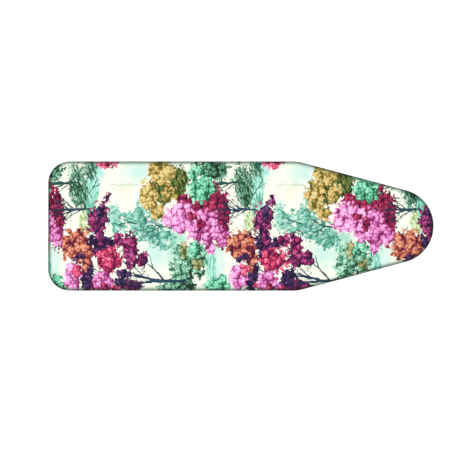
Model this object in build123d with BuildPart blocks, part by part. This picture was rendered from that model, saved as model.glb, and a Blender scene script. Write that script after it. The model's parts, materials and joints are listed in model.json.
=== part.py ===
from build123d import *
import os
from math import cos, radians, sin, sqrt, tan

# Folding ironing board, in millimetres. +X points to the nose, +Y to the left and +Z up.
# The origin is on the floor, under the middle of the ironing surface, with the legs open.

# ---- driving dimensions -------------------------------------------------------------------

# Plan outline of the covered board
HALF_LENGTH = 603.0
HALF_WIDTH = 203.0
TAIL_CORNER_RADIUS = 68.5
SHOULDER_X = 178.5          # where the straight sides start to taper
SHOULDER_RADIUS = 130.0
TAPER = 15.0                # degrees between a tapered side and the X axis
NOSE_RADIUS = 116.5
NOSE_CENTRE_X = HALF_LENGTH - NOSE_RADIUS

# Layers of the board, from the ironing surface down
HEIGHT = 900.0
COVER = 1.0                 # thickness of the cotton cover
FOAM = 5.0
FELT = 3.0
PANEL = 0.8
RIM_HEIGHT = 18.0
RIM_WIDTH = 14.0
RIM_WALL = 1.0
FOAM_TOP = HEIGHT - COVER
FELT_TOP = FOAM_TOP - FOAM
PANEL_TOP = FELT_TOP - FELT
RIM_TOP = PANEL_TOP - PANEL
RIM_BOTTOM = RIM_TOP - RIM_HEIGHT

# Gathered hem of the cover, turned under the rim
HEM_REACH = 38.0            # how far the hem reaches in from the outline
HEM_FOLD_START = 28.0
HEM_POCKET = 1.4            # height left for the elastic
ELASTIC = 1.2
ELASTIC_WIDTH = 6.0

# Openings of the steel mesh
MESH_PITCH = 27.0
MESH_HOLE_RADIUS = 11.0     # corner radius of a hexagonal opening
MESH_MARGIN = 30.0          # plain edge, in from the outline

# Rectangular cross rails, welded under the mesh
RAIL_HEIGHT = 14.0
RAIL_WALL = 1.0
RAIL_BOTTOM = RIM_TOP - RAIL_HEIGHT
RAIL_GAP = 0.5              # to the rim, filled by the weld

# Scissor legs
PIVOT_X = 229.5             # fixed pivot of the outer legs
PIVOT_Z = 850.0             # both upper pivots are at this height
FOOT_Z = 16.0               # axis of the foot bars
REST_ANGLE = 50.0           # of the legs above the floor, board open
CROSS_DISTANCE = 385.0      # from an upper pivot to the cross bolt
LEG_LENGTH = (PIVOT_Z - FOOT_Z) / sin(radians(REST_ANGLE))
LEG_RADIUS = 11.0
LEG_WALL = 1.2
LEG_STUB = 14.0             # tube past the upper pivot
OUTER_LEG_Y = 118.0
INNER_LEG_Y = 92.0
AXLE_RADIUS = 5.0
BOLT_RADIUS = 4.0           # bolts where the legs cross
HEX_RADIUS = 7.5            # of the bolt heads and nuts, over the corners
RUNNING = 0.05              # radial clearance of a running fit
SIDE_GAP = 0.3              # between pieces that turn past each other

FOOT_BAR_RADIUS = 12.5
FOOT_BAR_WALL = 1.5
FOOT_CAP_RADIUS = 16.6
FOOT_CAP_LENGTH = 28.0
FOOT_CAP_SOCKET = 14.0
OUTER_FOOT_HALF = 200.0     # half the width over the rubber caps
INNER_FOOT_HALF = 152.0
OUTER_BRACE_DISTANCE = 700.0
INNER_BRACE_DISTANCE = 560.0
BRACE_RADIUS = 8.0
BRACE_WALL = 1.2

# Pivot brackets under the nose half
EAR = 2.0                   # sheet thickness
EAR_INNER_Y = 104.0
EAR_OUTER_Y = 132.0
EAR_RADIUS = 12.0
BRACKET_HALF_LENGTH = 16.0

# Slide for the inner legs
ROD_Y = 60.0
ROD_Z = 865.0
ROD_RADIUS = 5.0
ROD_CLEARANCE = 0.1
FRONT_HANGER_X = -185.0
REAR_HANGER_X = -559.5
HANGER = 3.0
HANGER_FLANGE = 2.5
HANGER_HALF_WIDTH = 75.0
HANGER_BOTTOM = 855.0
SLIDE_X = PIVOT_X - 2 * CROSS_DISTANCE * cos(radians(REST_ANGLE))

# Slider blocks, from the slide axle
SLIDER_HALF_WIDTH = 13.0
SLIDER_BACK = -14.0
SLIDER_FRONT = 56.0
SLIDER_BOTTOM = 840.0
SLIDER_TOP = 887.0
WINDOW_BACK = 14.0
WINDOW_FRONT = 44.0
WINDOW_BOTTOM = 843.0
WINDOW_TOP = 882.0
LIP_BACK = 39.5             # lip that the foot of the jam plate bears on
LIP_TOP = 849.0

# Jam plates, which lock the sliders on the rods
FULCRUM_X = 39.2            # from the slide axle
FULCRUM_Z = 847.0
JAM_TILT = 6.0
JAM_THICKNESS = 2.5
JAM_WIDTH = 20.0
JAM_BELOW = 2.0
JAM_ABOVE = 33.0
JAM_HOLE_RADIUS = 5.45
SPRING_RADIUS = 6.75
SPRING_WIRE = 0.75
SPRING_TURNS = 5
SPRING_START = 14.9
SPRING_END = 36.8

# Release lever
SHAFT_X = 50.0              # from the slide axle
SHAFT_Z = 881.0
SHAFT_RADIUS = 4.0
SHAFT_LEFT_Y = 78.0
LEVER_Y = -150.0
LEVER_DROOP = 26.0
LEVER_REACH = 58.0
LEVER_BEND = 12.0
GRIP_RADIUS = 8.0
GRIP_START = 20.0
GRIP_END = 63.0
CAM_HALF_WIDTH = 5.0
CAM_HUB_RADIUS = 6.5
CAM_TIP = (-5.5, -7.5)      # centre of the cam's tip, from the shaft
CAM_TIP_RADIUS = 2.0
CAM_SLOT_HALF = 5.5
CAM_SLOT_BOTTOM = 870.9

RIVET_RADIUS = 2.4
RIVET_HEAD = 4.0
RIVET_SHANK = 2.3
RIVET_HEAD_HEIGHT = 1.2

SIDES = {"left": 1, "right": -1}

os.makedirs("parts", exist_ok=True)


def finish(piece, name):
    """Label a finished piece and write its file."""
    piece.label = name
    export_step(piece, f"parts/{name}.step")


# ---- board --------------------------------------------------------------------------------


def outline(inset):
    """The board's plan outline, moved inwards by inset."""
    side = HALF_WIDTH - inset
    tail = -HALF_LENGTH + inset
    nose = NOSE_RADIUS - inset
    shoulder_x = SHOULDER_X - inset * tan(radians(TAPER / 2))
    tangent_x = NOSE_CENTRE_X + nose * sin(radians(TAPER))
    tangent_y = nose * cos(radians(TAPER))
    with BuildSketch() as plan:
        with BuildLine():
            FilletPolyline(
                (tail, 0),
                (tail, side),
                (shoulder_x, side),
                (tangent_x, tangent_y),
                radius=(TAIL_CORNER_RADIUS - inset, SHOULDER_RADIUS - inset),
            )
            CenterArc((NOSE_CENTRE_X, 0), nose, 0, 90 - TAPER)
            mirror(about=Plane.XZ)
        make_face()
    return plan.sketch


def half_width_at(x, inset):
    """Half the board's width at x, for a place in front of the shoulder."""
    side = HALF_WIDTH - inset
    shoulder_x = SHOULDER_X - inset * tan(radians(TAPER / 2))
    return side - max(0.0, x - shoulder_x) * tan(radians(TAPER))


def layer(outer, low, high, inner=None):
    """A flat layer of the board, or a ring when inner is given."""
    with BuildPart() as slab:
        with BuildSketch(Plane.XY.offset(low)):
            add(outline(outer))
            if inner is not None:
                add(outline(inner), mode=Mode.SUBTRACT)
        extrude(amount=high - low)
    return slab.part


# Cotton cover: top, sides, and a hem folded back on itself around the elastic
HEM_TOP = RIM_BOTTOM
HEM_UPPER = HEM_TOP - COVER
HEM_LOWER = HEM_UPPER - HEM_POCKET
HEM_BOTTOM = HEM_LOWER - COVER
with BuildPart() as cover:
    add(layer(0, HEM_UPPER, HEIGHT))
    add(layer(COVER, HEM_TOP, FOAM_TOP), mode=Mode.SUBTRACT)
    add(layer(HEM_REACH, HEM_UPPER, HEM_TOP), mode=Mode.SUBTRACT)
    add(layer(HEM_FOLD_START, HEM_BOTTOM, HEM_UPPER, HEM_REACH))
    add(layer(HEM_FOLD_START, HEM_LOWER, HEM_UPPER, HEM_REACH - COVER), mode=Mode.SUBTRACT)
finish(cover.part, "cover")

with BuildPart() as hem_elastic:
    elastic_bottom = HEM_LOWER + (HEM_POCKET - ELASTIC) / 2
    elastic_in = HEM_REACH - 2 * COVER
    add(layer(elastic_in - ELASTIC_WIDTH, elastic_bottom, elastic_bottom + ELASTIC, elastic_in))
finish(hem_elastic.part, "hem_elastic")

with BuildPart() as foam_pad:
    add(layer(COVER, FELT_TOP, FOAM_TOP))
finish(foam_pad.part, "foam_pad")

with BuildPart() as felt_underlay:
    add(layer(COVER, PANEL_TOP, FELT_TOP))
finish(felt_underlay.part, "felt_underlay")


def mesh_points():
    """Centres of the mesh openings, in staggered rows inside the plain edge."""
    row_step = MESH_PITCH * sqrt(3) / 2
    rows = int((HALF_WIDTH - MESH_MARGIN) / row_step)
    reach = MESH_MARGIN + MESH_HOLE_RADIUS
    corner = TAIL_CORNER_RADIUS - reach
    tip = NOSE_RADIUS - reach
    points = []
    for row in range(-rows, rows + 1):
        y = row * row_step
        shift = MESH_PITCH / 2 if row % 2 else 0.0
        columns = int(HALF_LENGTH / MESH_PITCH) + 1
        for column in range(-columns, columns + 1):
            x = column * MESH_PITCH + shift
            inside = abs(y) <= half_width_at(x, reach) and x >= -HALF_LENGTH + reach
            corner_x = -HALF_LENGTH + TAIL_CORNER_RADIUS
            corner_y = HALF_WIDTH - TAIL_CORNER_RADIUS
            if x < corner_x and abs(y) > corner_y:
                inside = inside and (x - corner_x) ** 2 + (abs(y) - corner_y) ** 2 <= corner**2
            if x > NOSE_CENTRE_X:
                inside = inside and (x - NOSE_CENTRE_X) ** 2 + y**2 <= tip**2
            if inside:
                points.append((x, y))
    return points


with BuildPart() as mesh_panel:
    with BuildSketch(Plane.XY.offset(RIM_TOP)):
        add(outline(COVER + RIM_WALL))
        with Locations(*mesh_points()):
            RegularPolygon(MESH_HOLE_RADIUS, 6, rotation=30, mode=Mode.SUBTRACT)
    extrude(amount=PANEL)
finish(mesh_panel.part, "mesh_panel")

# Rolled rim: an upturned channel, open below
RIM_INNER = COVER + RIM_WIDTH
with BuildPart() as rim:
    add(layer(COVER, RIM_BOTTOM, RIM_TOP, RIM_INNER))
    add(
        layer(COVER + RIM_WALL, RIM_BOTTOM, RIM_TOP - RIM_WALL, RIM_INNER - RIM_WALL),
        mode=Mode.SUBTRACT,
    )
finish(rim.part, "rim")


def rivet_holes(places, bottom, top):
    """Clear the rivet holes between two heights."""
    with Locations(*[(x, y, (bottom + top) / 2) for x, y in places]):
        Cylinder(RIVET_RADIUS, top - bottom + 1.0, mode=Mode.SUBTRACT)


# Cross rails by name: middle in X, width, and the rivets that hold what hangs below
BRACKET_RIVETS = [
    (PIVOT_X + dx, side * OUTER_LEG_Y) for side in SIDES.values() for dx in (-9.0, 9.0)
]
FRONT_RIVETS = [(FRONT_HANGER_X - 8.0, side * 50.0) for side in SIDES.values()]
REAR_RIVETS = [(REAR_HANGER_X - 14.0, side * 50.0) for side in SIDES.values()]
RAILS = {
    "tip": (420.0, 24.0, []),
    "pivot": (PIVOT_X, 30.0, BRACKET_RIVETS),
    "middle": (FRONT_HANGER_X, 30.0, FRONT_RIVETS),
    "tail": (-572.0, 28.0, REAR_RIVETS),
}
for rail_name, (rail_x, rail_width, rivets) in RAILS.items():
    with BuildPart() as cross_rail:
        with BuildSketch(Plane.XY.offset(RAIL_BOTTOM)):
            with Locations((rail_x, 0)):
                Rectangle(rail_width, 2 * HALF_WIDTH)
            add(outline(RIM_INNER + RAIL_GAP), mode=Mode.INTERSECT)
        extrude(amount=RAIL_HEIGHT)
        with BuildSketch(Plane.XY.offset(RAIL_BOTTOM + RAIL_WALL)):
            with Locations((rail_x, 0)):
                Rectangle(rail_width - 2 * RAIL_WALL, 2 * HALF_WIDTH)
        extrude(amount=RAIL_HEIGHT - 2 * RAIL_WALL, mode=Mode.SUBTRACT)
        if rivets:
            rivet_holes(rivets, RAIL_BOTTOM, RAIL_BOTTOM + RAIL_WALL)
    finish(cross_rail.part, f"cross_rail_{rail_name}")

# Pivot brackets: a bent sheet with two ears each
for side_name, side in SIDES.items():
    middle_y = side * (EAR_INNER_Y + EAR_OUTER_Y) / 2
    web_bottom = RAIL_BOTTOM - EAR
    with BuildPart() as pivot_bracket:
        with BuildSketch(Plane.XZ.offset(-side * EAR_INNER_Y)):
            with Locations((PIVOT_X, PIVOT_Z)):
                Circle(EAR_RADIUS)
            with Locations((PIVOT_X, (PIVOT_Z + RAIL_BOTTOM) / 2)):
                Rectangle(2 * EAR_RADIUS, RAIL_BOTTOM - PIVOT_Z)
        extrude(amount=-side * EAR)
        with BuildSketch(Plane.XZ.offset(-side * EAR_OUTER_Y)):
            with Locations((PIVOT_X, PIVOT_Z)):
                Circle(EAR_RADIUS)
            with Locations((PIVOT_X, (PIVOT_Z + RAIL_BOTTOM) / 2)):
                Rectangle(2 * EAR_RADIUS, RAIL_BOTTOM - PIVOT_Z)
        extrude(amount=side * EAR)
        with Locations((PIVOT_X, middle_y, RAIL_BOTTOM - EAR / 2)):
            Box(2 * BRACKET_HALF_LENGTH, EAR_OUTER_Y - EAR_INNER_Y, EAR)
        with Locations(Location((PIVOT_X, middle_y, PIVOT_Z), (90, 0, 0))):
            Cylinder(AXLE_RADIUS + RUNNING, EAR_OUTER_Y - EAR_INNER_Y + 2, mode=Mode.SUBTRACT)
        rivet_holes([place for place in BRACKET_RIVETS if place[1] * side > 0], web_bottom, RAIL_BOTTOM)
    finish(pivot_bracket.part, f"pivot_bracket_{side_name}")


def rod_along_y(radius, x, z, y_from, y_to, bore=0.0):
    """A round bar, or a ring when bore is given, across the board."""
    with BuildPart() as bar:
        with BuildSketch(Plane.XZ.offset(-y_from)):
            with Locations((x, z)):
                Circle(radius)
                if bore:
                    Circle(bore, mode=Mode.SUBTRACT)
        extrude(amount=y_from - y_to)
    return bar.part


PIVOT_AXLE_END = EAR_OUTER_Y + 1.0
with BuildPart() as pivot_axle:
    add(rod_along_y(AXLE_RADIUS, PIVOT_X, PIVOT_Z, -PIVOT_AXLE_END, PIVOT_AXLE_END))
finish(pivot_axle.part, "pivot_axle")


def end_caps(x, z, y_end):
    """Push-on domed caps on both ends of an axle across the board."""
    with BuildPart() as caps:
        for side in SIDES.values():
            add(rod_along_y(AXLE_RADIUS + 3.0, x, z, side * y_end, side * (y_end + 3.0)))
            outer_rim = caps.edges().group_by(Axis.Y)[-1 if side > 0 else 0]
            fillet(outer_rim, 2.0)
    return caps.part


with BuildPart() as pivot_axle_caps:
    add(end_caps(PIVOT_X, PIVOT_Z, PIVOT_AXLE_END))
finish(pivot_axle_caps.part, "pivot_axle_caps")

WASHER = OUTER_LEG_Y - LEG_RADIUS - EAR_INNER_Y - EAR - SIDE_GAP
with BuildPart() as pivot_washers:
    for side in SIDES.values():
        for face, way in ((EAR_INNER_Y + EAR, 1), (EAR_OUTER_Y - EAR, -1)):
            start_y = side * face
            add(
                rod_along_y(
                    9.0, PIVOT_X, PIVOT_Z, start_y, start_y + side * way * WASHER, AXLE_RADIUS + RUNNING
                )
            )
finish(pivot_washers.part, "pivot_washers")

# Guide rods and the two plates that hold them
ROD_BACK = REAR_HANGER_X - HANGER / 2
ROD_FRONT = FRONT_HANGER_X + HANGER / 2 + 3.0
for side_name, side in SIDES.items():
    with BuildPart() as guide_rod:
        with BuildSketch(Plane.YZ.offset(ROD_BACK)):
            with Locations((side * ROD_Y, ROD_Z)):
                Circle(ROD_RADIUS)
        extrude(amount=ROD_FRONT - ROD_BACK)
    finish(guide_rod.part, f"guide_rod_{side_name}")

HANGERS = {
    "front": (FRONT_HANGER_X, FRONT_HANGER_X - 15.0, FRONT_RIVETS),
    "rear": (REAR_HANGER_X, REAR_HANGER_X - 24.0, REAR_RIVETS),
}
for hanger_name, (hanger_x, flange_x, rivets) in HANGERS.items():
    with BuildPart() as rod_hanger:
        with BuildSketch(Plane.YZ.offset(hanger_x - HANGER / 2)) as hanger_face:
            with Locations((0, (HANGER_BOTTOM + RAIL_BOTTOM) / 2)):
                Rectangle(2 * HANGER_HALF_WIDTH, RAIL_BOTTOM - HANGER_BOTTOM)
            fillet(hanger_face.vertices().group_by(Axis.Z)[0], 6.0)
            with Locations((0, HANGER_BOTTOM)):
                Rectangle(2 * (ROD_Y - 16.0), 2 * (ROD_Z - HANGER_BOTTOM), mode=Mode.SUBTRACT)
            with Locations((ROD_Y, ROD_Z), (-ROD_Y, ROD_Z)):
                Circle(ROD_RADIUS, mode=Mode.SUBTRACT)
        extrude(amount=HANGER)
        flange_length = hanger_x + HANGER / 2 - flange_x
        with Locations((flange_x + flange_length / 2, 0, RAIL_BOTTOM - HANGER_FLANGE / 2)):
            Box(flange_length, 2 * HANGER_HALF_WIDTH, HANGER_FLANGE)
        rivet_holes(rivets, RAIL_BOTTOM - HANGER_FLANGE, RAIL_BOTTOM)
    finish(rod_hanger.part, f"rod_hanger_{hanger_name}")

# Snap rings on the front ends of the rods
with BuildPart() as rod_clips:
    with BuildSketch(Plane.YZ.offset(FRONT_HANGER_X + HANGER / 2)):
        with Locations((ROD_Y, ROD_Z), (-ROD_Y, ROD_Z)):
            Circle(ROD_RADIUS + 3.0)
            Circle(ROD_RADIUS, mode=Mode.SUBTRACT)
    extrude(amount=1.2)
finish(rod_clips.part, "rod_clips")

with BuildPart() as bracket_rivets:
    for places, below in (
        (BRACKET_RIVETS, RAIL_BOTTOM - EAR),
        (FRONT_RIVETS, RAIL_BOTTOM - HANGER_FLANGE),
        (REAR_RIVETS, RAIL_BOTTOM - HANGER_FLANGE),
    ):
        inside_rail = RAIL_BOTTOM + RAIL_WALL
        with BuildSketch(Plane.XY.offset(below)):
            with Locations(*places):
                Circle(RIVET_SHANK)
        extrude(amount=inside_rail - below)
        for head_z, way in ((below, -1), (inside_rail, 1)):
            with BuildSketch(Plane.XY.offset(head_z)):
                with Locations(*places):
                    Circle(RIVET_HEAD)
            extrude(amount=way * RIVET_HEAD_HEIGHT)
finish(bracket_rivets.part, "bracket_rivets")

# ---- scissor legs -------------------------------------------------------------------------


class Leg:
    """One pair of legs: its upper pivot, and the way the tubes run down from it."""

    def __init__(self, top_x, way, leg_y):
        self.top_x = top_x
        self.leg_y = leg_y
        self.run = (way * cos(radians(REST_ANGLE)), -sin(radians(REST_ANGLE)))

    def point(self, distance):
        """X and Z of the place at a distance down the leg from the upper pivot."""
        return (self.top_x + distance * self.run[0], PIVOT_Z + distance * self.run[1])

    def plane(self, y, distance):
        """The plane square to the tube, at a distance down the leg."""
        x, z = self.point(distance)
        return Plane(origin=(x, y, z), x_dir=(0, 1, 0), z_dir=(self.run[0], 0, self.run[1]))


OUTER = Leg(PIVOT_X, -1, OUTER_LEG_Y)
INNER = Leg(SLIDE_X, 1, INNER_LEG_Y)


def leg_tube(leg, y, bolt_clearance):
    """One leg tube, coped to the foot bar, with its pivot and cross-bolt holes."""
    with BuildPart() as tube:
        with BuildSketch(leg.plane(y, -LEG_STUB)):
            Circle(LEG_RADIUS)
            Circle(LEG_RADIUS - LEG_WALL, mode=Mode.SUBTRACT)
        extrude(amount=LEG_STUB + LEG_LENGTH)
        span = (y - 2 * LEG_RADIUS, y + 2 * LEG_RADIUS)
        add(rod_along_y(FOOT_BAR_RADIUS, *leg.point(LEG_LENGTH), *span), mode=Mode.SUBTRACT)
        add(rod_along_y(AXLE_RADIUS + RUNNING, *leg.point(0), *span), mode=Mode.SUBTRACT)
        bolt_hole = BOLT_RADIUS + bolt_clearance
        add(rod_along_y(bolt_hole, *leg.point(CROSS_DISTANCE), *span), mode=Mode.SUBTRACT)
    return tube.part


def leg_plugs(leg):
    """Plastic plugs in the open upper ends of a pair of legs."""
    with BuildPart() as plugs:
        for side in SIDES.values():
            with BuildSketch(leg.plane(side * leg.leg_y, -LEG_STUB - 1.5)):
                Circle(LEG_RADIUS - 0.4)
            extrude(amount=1.5)
            with BuildSketch(leg.plane(side * leg.leg_y, -LEG_STUB)):
                Circle(LEG_RADIUS - LEG_WALL)
            extrude(amount=6.0)
    return plugs.part


def brace_tube(leg, distance):
    """A cross brace between a pair of legs, coped to both tubes."""
    with BuildPart() as brace:
        x, z = leg.point(distance)
        add(rod_along_y(BRACE_RADIUS, x, z, -leg.leg_y, leg.leg_y, BRACE_RADIUS - BRACE_WALL))
        for side in SIDES.values():
            with BuildSketch(leg.plane(side * leg.leg_y, distance - 4 * BRACE_RADIUS)):
                Circle(LEG_RADIUS)
            extrude(amount=8 * BRACE_RADIUS, mode=Mode.SUBTRACT)
    return brace.part


def foot_cap(leg, half_width, side):
    """A rubber cap on one end of a foot bar, with a flat tread on the floor."""
    x, z = leg.point(LEG_LENGTH)
    outer_y = side * half_width
    inner_y = side * (half_width - FOOT_CAP_LENGTH)
    with BuildPart() as cap:
        add(rod_along_y(FOOT_CAP_RADIUS, x, z, inner_y, outer_y))
        fillet(cap.edges().filter_by(GeomType.CIRCLE).group_by(Axis.Y)[-1 if side > 0 else 0], 4.0)
        with Locations((x, side * half_width, -FOOT_CAP_RADIUS / 2)):
            Box(4 * FOOT_CAP_RADIUS, 4 * FOOT_CAP_LENGTH, FOOT_CAP_RADIUS, mode=Mode.SUBTRACT)
        socket_y = inner_y + side * FOOT_CAP_SOCKET
        add(rod_along_y(FOOT_BAR_RADIUS, x, z, inner_y, socket_y), mode=Mode.SUBTRACT)
    return cap.part


for group, leg, foot_half, brace_distance, clearance in (
    ("outer", OUTER, OUTER_FOOT_HALF, OUTER_BRACE_DISTANCE, RUNNING),
    ("inner", INNER, INNER_FOOT_HALF, INNER_BRACE_DISTANCE, 2 * RUNNING),
):
    for side_name, side in SIDES.items():
        finish(leg_tube(leg, side * leg.leg_y, clearance), f"{group}_leg_{side_name}")
        finish(foot_cap(leg, foot_half, side), f"{group}_foot_cap_{side_name}")
    finish(leg_plugs(leg), f"{group}_leg_plugs")
    finish(brace_tube(leg, brace_distance), f"{group}_brace")
    bar_half = foot_half - FOOT_CAP_LENGTH + FOOT_CAP_SOCKET
    with BuildPart() as foot_bar:
        bar_x, bar_z = leg.point(LEG_LENGTH)
        bar_bore = FOOT_BAR_RADIUS - FOOT_BAR_WALL
        add(rod_along_y(FOOT_BAR_RADIUS, bar_x, bar_z, -bar_half, bar_half, bar_bore))
    finish(foot_bar.part, f"{group}_foot_bar")

# Cross bolts, turning in the inner legs
CROSS_X, CROSS_Z = OUTER.point(CROSS_DISTANCE)
HEAD_FACE = INNER_LEG_Y - LEG_RADIUS - SIDE_GAP
NUT_FACE = OUTER_LEG_Y + LEG_RADIUS
with BuildPart() as cross_bolts:
    for side in SIDES.values():
        add(rod_along_y(BOLT_RADIUS, CROSS_X, CROSS_Z, side * HEAD_FACE, side * (NUT_FACE + 6.5)))
        with BuildSketch(Plane.XZ.offset(-side * HEAD_FACE)):
            with Locations((CROSS_X, CROSS_Z)):
                RegularPolygon(HEX_RADIUS, 6)
        extrude(amount=side * 4.5)
finish(cross_bolts.part, "cross_bolts")

with BuildPart() as cross_nuts:
    for side in SIDES.values():
        with BuildSketch(Plane.XZ.offset(-side * NUT_FACE)):
            with Locations((CROSS_X, CROSS_Z)):
                RegularPolygon(HEX_RADIUS, 6)
                Circle(BOLT_RADIUS, mode=Mode.SUBTRACT)
        extrude(amount=-side * 5.0)
finish(cross_nuts.part, "cross_nuts")

with BuildPart() as cross_spacers:
    for side in SIDES.values():
        low = side * (INNER_LEG_Y + LEG_RADIUS + SIDE_GAP)
        high = side * (OUTER_LEG_Y - LEG_RADIUS)
        add(rod_along_y(9.0, CROSS_X, CROSS_Z, low, high, BOLT_RADIUS + RUNNING))
finish(cross_spacers.part, "cross_spacers")

# ---- slide, lock and release lever --------------------------------------------------------

AXLE_END = INNER_LEG_Y + LEG_RADIUS
with BuildPart() as slide_axle:
    add(rod_along_y(AXLE_RADIUS, SLIDE_X, PIVOT_Z, -AXLE_END, AXLE_END))
finish(slide_axle.part, "slide_axle")

with BuildPart() as axle_caps:
    add(end_caps(SLIDE_X, PIVOT_Z, AXLE_END))
finish(axle_caps.part, "axle_caps")

with BuildPart() as axle_spacers:
    for side in SIDES.values():
        low = side * (ROD_Y + SLIDER_HALF_WIDTH + SIDE_GAP)
        high = side * (INNER_LEG_Y - LEG_RADIUS)
        add(rod_along_y(8.0, SLIDE_X, PIVOT_Z, low, high, AXLE_RADIUS + RUNNING))
finish(axle_spacers.part, "axle_spacers")


def block(x_from, x_to, y_from, y_to, z_from, z_to, mode=Mode.ADD):
    """A plain block placed from the slide axle in X."""
    with Locations((SLIDE_X + (x_from + x_to) / 2, (y_from + y_to) / 2, (z_from + z_to) / 2)):
        Box(x_to - x_from, y_to - y_from, z_to - z_from, mode=mode)


for side_name, side in SIDES.items():
    y = side * ROD_Y
    y_low, y_high = y - SLIDER_HALF_WIDTH, y + SLIDER_HALF_WIDTH
    with BuildPart() as slider:
        block(SLIDER_BACK, SLIDER_FRONT, y_low, y_high, SLIDER_BOTTOM, SLIDER_TOP)
        fillet(slider.edges().filter_by(Axis.Y), 3.0)
        block(WINDOW_BACK, WINDOW_FRONT, y_low, y_high, WINDOW_BOTTOM, WINDOW_TOP, Mode.SUBTRACT)
        block(LIP_BACK, WINDOW_FRONT, y_low, y_high, WINDOW_BOTTOM, LIP_TOP)
        block(
            WINDOW_FRONT - 3,
            SLIDER_FRONT,
            y - CAM_SLOT_HALF,
            y + CAM_SLOT_HALF,
            CAM_SLOT_BOTTOM,
            SLIDER_TOP,
            Mode.SUBTRACT,
        )
        with BuildSketch(Plane.YZ.offset(SLIDE_X + SLIDER_BACK)):
            with Locations((y, ROD_Z)):
                Circle(ROD_RADIUS + ROD_CLEARANCE)
        extrude(amount=SLIDER_FRONT - SLIDER_BACK, mode=Mode.SUBTRACT)
        add(
            rod_along_y(AXLE_RADIUS + RUNNING, SLIDE_X, PIVOT_Z, y_low, y_high),
            mode=Mode.SUBTRACT,
        )
        add(
            rod_along_y(SHAFT_RADIUS + RUNNING, SLIDE_X + SHAFT_X, SHAFT_Z, y_low, y_high),
            mode=Mode.SUBTRACT,
        )
    finish(slider.part, f"slider_{side_name}")

    tilt = radians(JAM_TILT)
    fulcrum = Plane(
        origin=(SLIDE_X + FULCRUM_X, y, FULCRUM_Z),
        x_dir=(0, 1, 0),
        z_dir=(cos(tilt), 0, -sin(tilt)),
    )
    with BuildPart() as jam_plate:
        with BuildSketch(fulcrum) as jam_face:
            with Locations((0, (JAM_ABOVE - JAM_BELOW) / 2)):
                Rectangle(JAM_WIDTH, JAM_ABOVE + JAM_BELOW)
            fillet(jam_face.vertices(), 2.0)
            with Locations((0, (ROD_Z - FULCRUM_Z) / cos(tilt) + JAM_THICKNESS / 2 * tan(tilt))):
                Circle(JAM_HOLE_RADIUS, mode=Mode.SUBTRACT)
        extrude(amount=-JAM_THICKNESS)
    finish(jam_plate.part, f"jam_plate_{side_name}")

with BuildPart() as jam_springs:
    with BuildLine() as coil:
        Helix(
            pitch=(SPRING_END - SPRING_START) / SPRING_TURNS,
            height=SPRING_END - SPRING_START,
            radius=SPRING_RADIUS,
            center=(SLIDE_X + SPRING_START, ROD_Y, ROD_Z),
            direction=(1, 0, 0),
        )
    with BuildSketch(Plane(origin=coil.line @ 0, z_dir=coil.line % 0)):
        Circle(SPRING_WIRE)
    sweep()
    mirror(about=Plane.XZ)
finish(jam_springs.part, "jam_springs")

# Release lever: one bent rod with two cams and a moulded grip
LEVER_RUN = (-cos(radians(LEVER_DROOP)), -sin(radians(LEVER_DROOP)))
LEVER_X = SLIDE_X + SHAFT_X
with BuildPart() as lever_shaft:
    with BuildLine() as bent_rod:
        FilletPolyline(
            (LEVER_X, SHAFT_LEFT_Y, SHAFT_Z),
            (LEVER_X, LEVER_Y, SHAFT_Z),
            (LEVER_X + LEVER_REACH * LEVER_RUN[0], LEVER_Y, SHAFT_Z + LEVER_REACH * LEVER_RUN[1]),
            radius=LEVER_BEND,
        )
    with BuildSketch(Plane(origin=bent_rod.line @ 0, z_dir=bent_rod.line % 0)):
        Circle(SHAFT_RADIUS)
    sweep()
finish(lever_shaft.part, "lever_shaft")

with BuildPart() as lever_cams:
    for side in SIDES.values():
        with BuildSketch(Plane.XZ.offset(-side * (ROD_Y - CAM_HALF_WIDTH))) as cam_face:
            with Locations((LEVER_X, SHAFT_Z)):
                Circle(CAM_HUB_RADIUS)
            with Locations((LEVER_X + CAM_TIP[0], SHAFT_Z + CAM_TIP[1])):
                Circle(CAM_TIP_RADIUS)
            make_hull()
            with Locations((LEVER_X, SHAFT_Z)):
                Circle(SHAFT_RADIUS, mode=Mode.SUBTRACT)
        extrude(amount=-side * 2 * CAM_HALF_WIDTH)
finish(lever_cams.part, "lever_cams")


def lever_plane(distance):
    """The plane square to the lever's arm, at a distance from the shaft."""
    return Plane(
        origin=(LEVER_X + distance * LEVER_RUN[0], LEVER_Y, SHAFT_Z + distance * LEVER_RUN[1]),
        x_dir=(0, 1, 0),
        z_dir=(LEVER_RUN[0], 0, LEVER_RUN[1]),
    )


with BuildPart() as lever_grip:
    with BuildSketch(lever_plane(GRIP_START)):
        Circle(GRIP_RADIUS)
    extrude(amount=GRIP_END - GRIP_START)
    fillet(lever_grip.edges(), 3.0)
    with BuildSketch(lever_plane(GRIP_START)):
        Circle(SHAFT_RADIUS)
    extrude(amount=LEVER_REACH - GRIP_START, mode=Mode.SUBTRACT)
finish(lever_grip.part, "lever_grip")

with BuildPart() as shaft_clips:
    for side in SIDES.values():
        low = side * (ROD_Y + SLIDER_HALF_WIDTH + 1.0)
        add(rod_along_y(SHAFT_RADIUS + 3.0, LEVER_X, SHAFT_Z, low, low + side * 1.2, SHAFT_RADIUS))
finish(shaft_clips.part, "shaft_clips")
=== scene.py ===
import json
import math

import bmesh
import bpy
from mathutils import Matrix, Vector, noise


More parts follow.
